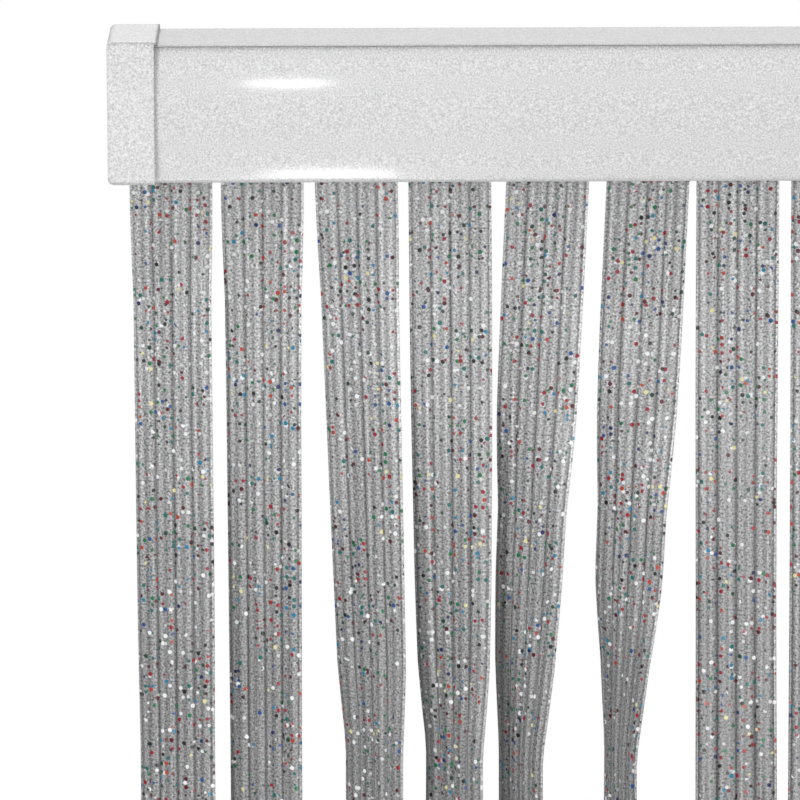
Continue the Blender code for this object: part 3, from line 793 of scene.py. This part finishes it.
def cover_outline():
    """The cover in section: bowed front, round foot with a return, and the hook leg."""
    top = RAIL_TOP - NOSE_HEIGHT - SEAM_GAP
    knee = -RAIL_TOP + COVER_FOOT_RADIUS
    leg_top = RAIL_TOP - LIP_DROP - FIT_GAP
    leg_foot = leg_top - HOOK_LEG_WALL
    hook_front = -(RAIL_DEPTH - LIP_SETBACK - LIP_WALL - FIT_GAP)
    hook_back = hook_front + HOOK_LEG_WALL
    return_end = -(RAIL_DEPTH - COVER_RETURN)
    heights = np.linspace(top - COVER_TOP_CHAMFER, knee, 40)
    front = np.stack([cover_front(heights), heights], 1)
    foot = (cover_front(knee) + COVER_FOOT_RADIUS, knee)
    inside = np.linspace(knee, leg_foot, 16)[1:-1]
    back = np.stack([cover_front(inside) + COVER_WALL, inside], 1)
    return np.concatenate([
        [(cover_front(top) + COVER_TOP_CHAMFER, top)],
        front,
        arc(foot, COVER_FOOT_RADIUS, 180, 270, 10)[1:],
        [(return_end, -RAIL_TOP), (return_end, -RAIL_TOP + COVER_WALL)],
        arc(foot, COVER_FOOT_RADIUS - COVER_WALL, 270, 180, 5),
        back,
        [(cover_front(leg_foot) + COVER_WALL, leg_foot), (hook_back, leg_foot)],
        [(hook_back, leg_top + HOOK_RISE), (hook_front, leg_top + HOOK_RISE), (hook_front, leg_top)],
        [(cover_front(leg_top) + COVER_WALL, leg_top), (cover_front(top) + COVER_WALL, top)],
    ])


def make_cover(material):
    """The front cover: its section carried along X, with both ends filled."""
    outline = cover_outline()
    count = len(outline)
    places = np.linspace(-PROFILE_HALF, PROFILE_HALF, 9)
    points = np.concatenate([
        np.stack([np.full(count, x), outline[:, 0], outline[:, 1]], 1) for x in places
    ])
    faces = grid_faces(len(places), count).tolist()
    faces.append(tuple(range(count))[::-1])
    faces.append(tuple(range((len(places) - 1) * count, len(places) * count)))
    piece = mesh_piece("smooth_front_cover", points, faces, material, COVER_CREASE)
    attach(piece, "rail")
    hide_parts("front_fascia")


def screw_surface():
    """Depth along the screw and places (across, up) about its axis, as arrays of rings by columns.

    The radius follows a profile: flat face, eased rim, cone, shank and point. The face sinks by a
    cross, which is deepest within a half width of either axis and ends at its reach. The shank's
    radius falls by a thread, a cosine of the depth over the pitch less the share of a turn.
    """
    shank_end = SCREW_LENGTH - SCREW_POINT
    face = np.linspace(0.0, FACE_SHARE, FACE_RINGS + 1)[1:] * SCREW_HEAD_RADIUS
    rim_depth, rim_radius = SCREW_HEAD_RADIUS * np.array(RIM_SHARES)
    shank = np.linspace(SCREW_HEAD_HEIGHT, shank_end, SHANK_RINGS)
    point = np.linspace(shank_end, SCREW_LENGTH, POINT_RINGS + 2)[1:-1]
    narrowed = SCREW_RADIUS * ((SCREW_LENGTH - point) / SCREW_POINT)
    depth = np.concatenate([0 * face, rim_depth, shank, point])[:, None]
    radius = np.concatenate([face, rim_radius, 0 * shank + SCREW_RADIUS, narrowed])[:, None]
    angle = np.arange(SCREW_COLUMNS)[None] * 2 * np.pi / SCREW_COLUMNS
    across, up = radius * np.cos(angle), radius * np.sin(angle)
    arm = 1 - ease((np.minimum(np.abs(across), np.abs(up)) - CROSS_HALF) / CROSS_SLOPE)
    inside = 1 - ease((radius - CROSS_REACH) / CROSS_SLOPE)
    sunk = CROSS_DEPTH * arm * inside * (depth == 0)
    threaded = ease((depth - SCREW_HEAD_HEIGHT) / THREAD_PITCH) * (depth < shank_end)
    fall = THREAD_RISE * threaded * (0.5 - 0.5 * np.cos(2 * np.pi * depth / THREAD_PITCH - angle))
    share = 1 - fall / np.maximum(radius, SCREW_RADIUS / 2)
    return depth + sunk, across * share, up * share


def make_screw(side, label, material):
    """One cap screw, driven inwards along X, with a pole at its face and one at its point."""
    node = f"cap_screw_{side}_{label}"
    low, high = (np.array(corner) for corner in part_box(node))
    way, start = (1, low[0]) if side == "left" else (-1, high[0])
    middle = (low + high) / 2
    depth, across, up = screw_surface()
    rings = np.stack([start + way * depth, middle[1] + across, middle[2] + up], 2)
    poles = [[start + way * deep, middle[1], middle[2]] for deep in (CROSS_DEPTH, SCREW_LENGTH)]
    points = np.concatenate([rings.reshape(-1, 3), poles])
    face_pole, point_pole = len(points) - 2, len(points) - 1
    here = np.arange(SCREW_COLUMNS)
    after = (here + 1) % SCREW_COLUMNS
    foot = face_pole - SCREW_COLUMNS
    faces = grid_faces(len(rings), SCREW_COLUMNS)[:, ::way].tolist()
    faces += np.stack([after, here, 0 * here + face_pole], 1)[:, ::way].tolist()
    faces += np.stack([foot + here, foot + after, 0 * here + point_pole], 1)[:, ::way].tolist()
    piece = mesh_piece(f"cross_head_screw_{side}_{label}", points, faces, material, SCREW_CREASE)
    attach(piece, "rail")
    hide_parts(node)


# Light, floor and camera

def area_light(name, place, aim, size, power, tall=None, gloss=False, matt=False):
    """A soft lamp that no camera sees.

    With gloss it is a card that shows in reflections alone, and with matt it shows in none.
    """
    data = bpy.data.lights.new(name, "AREA")
    data.energy = power
    data.size = size
    if tall:
        data.shape = "RECTANGLE"
        data.size_y = tall
    lamp = bpy.data.objects.new(name, data)
    lamp.location = place
    lamp.rotation_euler = (Vector(aim) - Vector(place)).to_track_quat("-Z", "Y").to_euler()
    lamp.visible_camera = False
    lamp.visible_diffuse = not gloss
    lamp.visible_glossy = not matt
    bpy.context.scene.collection.objects.link(lamp)


def make_world():
    """White for the camera and through clear parts, and a soft grey sky that is paler above."""
    world = bpy.data.worlds.new("studio")
    world.use_nodes = True
    bpy.context.scene.world = world
    tree = world.node_tree
    tree.nodes.clear()
    paint = Shade(tree)
    way = paint.node("TexCoord", None, None, 0)
    up = way.part(2) * 0.5 + 0.5
    rays = paint.node("LightPath").socket.node.outputs
    camera, glossy, through = (
        Shade(tree, rays[f"Is {kind} Ray"]) for kind in ("Camera", "Glossy", "Transmission"))
    seen = camera.most(through)
    soft, mirror = (low + rise * up for low, rise in (SKY_LEVEL, SKY_MIRROR_LEVEL))
    level = soft + glossy * (mirror - soft)
    level = level + seen * (1 - level)
    shine = paint.node("Background", None, {"Color": (1, 1, 1, 1), "Strength": level})
    target = tree.nodes.new("ShaderNodeOutputWorld")
    tree.links.new(shine.socket, target.inputs["Surface"])


def make_floor():
    """A pale round floor below the strips, which fades out far from them."""
    foot = cad_box[0].z - FLOOR_DROP
    radii = np.linspace(*FLOOR_RADII, FLOOR_RINGS)
    angles = np.linspace(0, 2 * np.pi, FLOOR_SIDES + 1)[:-1]
    rings = radii[:, None, None] * np.stack([np.cos(angles), np.sin(angles)], 1)[None]
    points = np.concatenate([[(0, 0)], rings.reshape(-1, 2)])
    points = np.concatenate([points, np.full((len(points), 1), foot)], 1)
    faces = [(0, k + 1, (k + 1) % FLOOR_SIDES + 1) for k in range(FLOOR_SIDES)]
    faces += (grid_faces(FLOOR_RINGS, FLOOR_SIDES)[:, ::-1] + 1).tolist()
    made, shader, paint = finish("pale_floor", Roughness=0.9)
    place = object_place(paint)
    far = paint.vector("LENGTH", place, out=1)
    level = FLOOR_LEVEL + FLOOR_GRAIN * noise(paint, place, FLOOR_GRAIN_SCALE)
    clear = 1 - far.smooth(*FLOOR_FADE)
    feed(shader, paint, Base_Color=level.grey(), Alpha=clear)
    mesh_piece("pale_floor", points, faces, made)


def make_camera():
    """A long lens that looks down a little at the left end of the rail."""
    data = bpy.data.cameras.new("camera")
    data.sensor_width = CAMERA_SENSOR
    data.lens = CAMERA_LENS
    data.clip_end = CAMERA_REACH
    camera = bpy.data.objects.new("camera", data)
    bpy.context.scene.collection.objects.link(camera)
    pitch, roll = math.radians(90 - CAMERA_PITCH_DEGREES), math.radians(CAMERA_ROLL_DEGREES)
    turn = Matrix.Rotation(pitch, 4, "X") @ Matrix.Rotation(roll, 4, "Z")
    camera.matrix_world = Matrix.Translation(CAMERA_PLACE) @ turn
    bpy.context.scene.camera = camera


def main():
    """Makes the pieces, gives every model node its finish, and sets the stage."""
    # crease sets how strong the painted shade along edges is; shade_end ends the painted shade beside
    # the cap's joint
    lacquer = white_finish("white_lacquer", (0.708, 0.708, 0.71), rough=0.36, peel=0.12, coat=0.4,
                           crease=0.4)
    plastic = white_finish("white_plastic", (0.73, 0.73, 0.73), rough=0.42, peel=0.16, coat=0.15,
                           crease=1.2, shade_end=CAP_SHADE_END)
    pvc = smoke_pvc()
    steel = zinc_steel()
    nylon = natural_nylon()
    finishes = {
        "rail_channel": lacquer, "end_cap": plastic, "hanger_rod": steel, "rod_bracket": nylon}
    for name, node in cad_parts.items():
        for start, material in finishes.items():
            if name.startswith(start):
                node.data.materials.clear()
                node.data.materials.append(material)
    make_cover(lacquer)
    for side in ("left", "right"):
        for label in ("upper", "lower"):
            make_screw(side, label, steel)
    for number in range(1, STRIP_COUNT + 1):
        make_strip(number, pvc)
    make_world()
    make_floor()
    make_camera()
    for lamp in LAMPS:
        area_light(**lamp)
    for card in GLOSS_CARDS:
        area_light(**card, gloss=True)
    bpy.context.scene.view_settings.view_transform = "Standard"


main()
